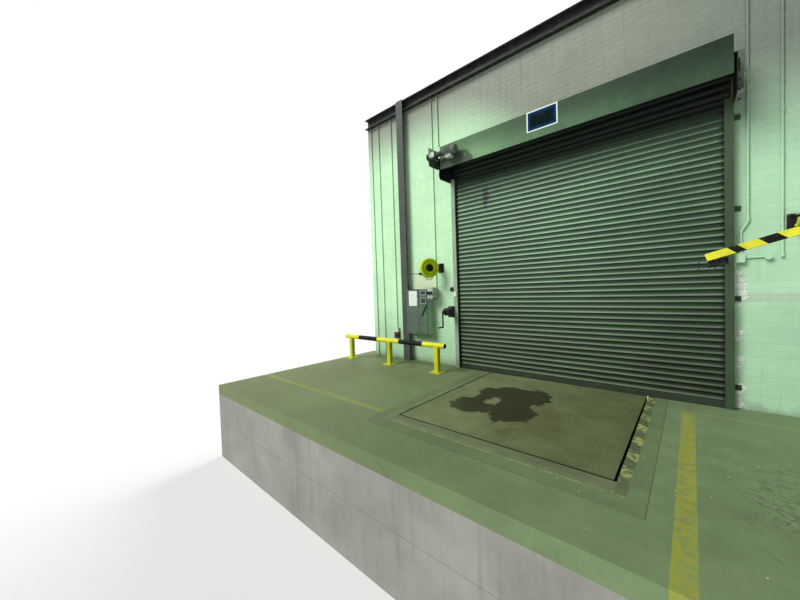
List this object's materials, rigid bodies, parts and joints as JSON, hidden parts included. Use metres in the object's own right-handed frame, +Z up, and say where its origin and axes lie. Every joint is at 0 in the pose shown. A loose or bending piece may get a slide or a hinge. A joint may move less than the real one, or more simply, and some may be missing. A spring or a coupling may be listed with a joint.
{
  "type": "loading dock bay with roller shutter door",
  "caption": "Raised loading dock bay: brick wall between steel columns, roller shutter, pit dock leveller, guard rail, cable reel and swinging dock light.",
  "frame": {"origin": "on the underside of the dock, on the yard level, below the middle of the doorway and in the plane of the wall's inner face", "axes": "+Z up, +X along the wall to the right as seen from the hall, +Y out through the doorway to the yard"},
  "size_m": [7.502, 3.66, 6.553],
  "materials": {
    "dock_concrete": "rough",
    "floor_concrete": "satin",
    "painted_brick": "matte",
    "lintel_concrete": "matte",
    "column_paint": "satin",
    "eaves_paint": "satin",
    "curb_steel": "worn",
    "leveller_steel": "worn",
    "deck_plate": "worn",
    "ram_paint": "satin",
    "ram_chrome": "polished",
    "bumper_rubber": "matte",
    "guide_steel": "satin",
    "slat_steel": "satin",
    "barrel_steel": "satin",
    "end_plate_paint": "satin",
    "hood_steel": "satin",
    "sign_face": "gloss",
    "motor_case": "satin",
    "black_case": "matte",
    "crank_steel": "satin",
    "reel_plastic": "gloss",
    "bracket_steel": "satin",
    "arm_paint": "gloss",
    "lamp_case": "matte",
    "rail_paint": "gloss",
    "cabinet_paint": "satin",
    "socket_case": "matte",
    "button_case": "satin",
    "conduit_paint": "matte"
  },
  "bodies": {
    "bay": {"base_left": "dock_concrete", "base_right": "dock_concrete", "base_rear": "dock_concrete", "pit_floor": "dock_concrete", "floor_left": "floor_concrete", "floor_right": "floor_concrete", "floor_rear": "floor_concrete", "wall_left_end": "painted_brick", "wall_left_pier": "painted_brick", "wall_right_pier": "painted_brick", "wall_over_door": "painted_brick", "door_lintel": "lintel_concrete", "column_left": "column_paint", "column_right": "column_paint", "eaves_beam": "eaves_paint", "pit_curb": "curb_steel", "leveller_frame": "leveller_steel", "dock_bumpers": "bumper_rubber", "guide_left": "guide_steel", "guide_right": "guide_steel", "curtain": "slat_steel", "bottom_rail": "slat_steel", "barrel": "barrel_steel", "end_plate_left": "end_plate_paint", "end_plate_right": "end_plate_paint", "hood": "hood_steel", "sign_plate": "sign_face", "motor_unit": "motor_case", "crank_gear": "black_case", "guide_sensor": "black_case", "reel_bracket": "bracket_steel", "light_bracket": "bracket_steel", "rail_posts": "rail_paint", "rail_tube": "rail_paint", "control_cabinet": "cabinet_paint", "socket_box": "socket_case", "button_box": "button_case", "conduits": "conduit_paint"},
    "deck": {"leveller_deck": "deck_plate", "leveller_lip": "deck_plate"},
    "cylinder": {"ram_cylinder": "ram_paint"},
    "rod": {"ram_rod": "ram_chrome"},
    "crank": {"crank_handle": "crank_steel"},
    "reel": {"reel_case": "reel_plastic"},
    "inner_arm": {"light_inner_arm": "arm_paint"},
    "outer_arm": {"light_outer_arm": "arm_paint"},
    "lamp": {"lamp_head": "lamp_case"}
  },
  "joints": [
    {"name": "deck_hinge", "type": "hinge", "parent": "bay", "child": "deck", "pos_m": [-0.045, -2.448, 1.162], "axis": [1, 0, 0], "range_deg": [-5, 0]},
    {"name": "ram_tilt", "type": "hinge", "parent": "bay", "child": "cylinder", "pos_m": [-0.045, -1.85, 0.64], "axis": [1, 0, 0], "range_deg": [-6.7, 0]},
    {"name": "ram_slide", "type": "slide", "parent": "cylinder", "child": "rod", "axis": [0, 0.8192, 0.5735], "range_m": [-0.067, 0]},
    {"name": "crank_turn", "type": "hinge", "parent": "bay", "child": "crank", "pos_m": [-1.865, -0.4, 2.25], "axis": [0, -1, 0], "continuous": true},
    {"name": "reel_swivel", "type": "hinge", "parent": "bay", "child": "reel", "pos_m": [-2.15, -0.08, 3.07], "axis": [0, 0, 1], "range_deg": [-50, 60]},
    {"name": "arm_swing", "type": "hinge", "parent": "bay", "child": "inner_arm", "pos_m": [2.266, -0.075, 3.23], "axis": [0, 0, 1], "range_deg": [-25, 45]},
    {"name": "elbow_swing", "type": "hinge", "parent": "inner_arm", "child": "outer_arm", "pos_m": [2.35, -0.95, 3.16], "axis": [0, 0, 1], "range_deg": [-15, 120]},
    {"name": "lamp_tilt", "type": "hinge", "parent": "outer_arm", "child": "lamp", "pos_m": [1.64, -0.905, 2.85], "axis": [-0.0636, -0.998, 0], "range_deg": [-30, 30]}
  ],
  "couplings": [
    {"joint": "ram_tilt", "follows": "deck_hinge", "ratio": 1.3271},
    {"joint": "ram_slide", "follows": "deck_hinge", "m_per_rad": 0.7654}
  ]
}
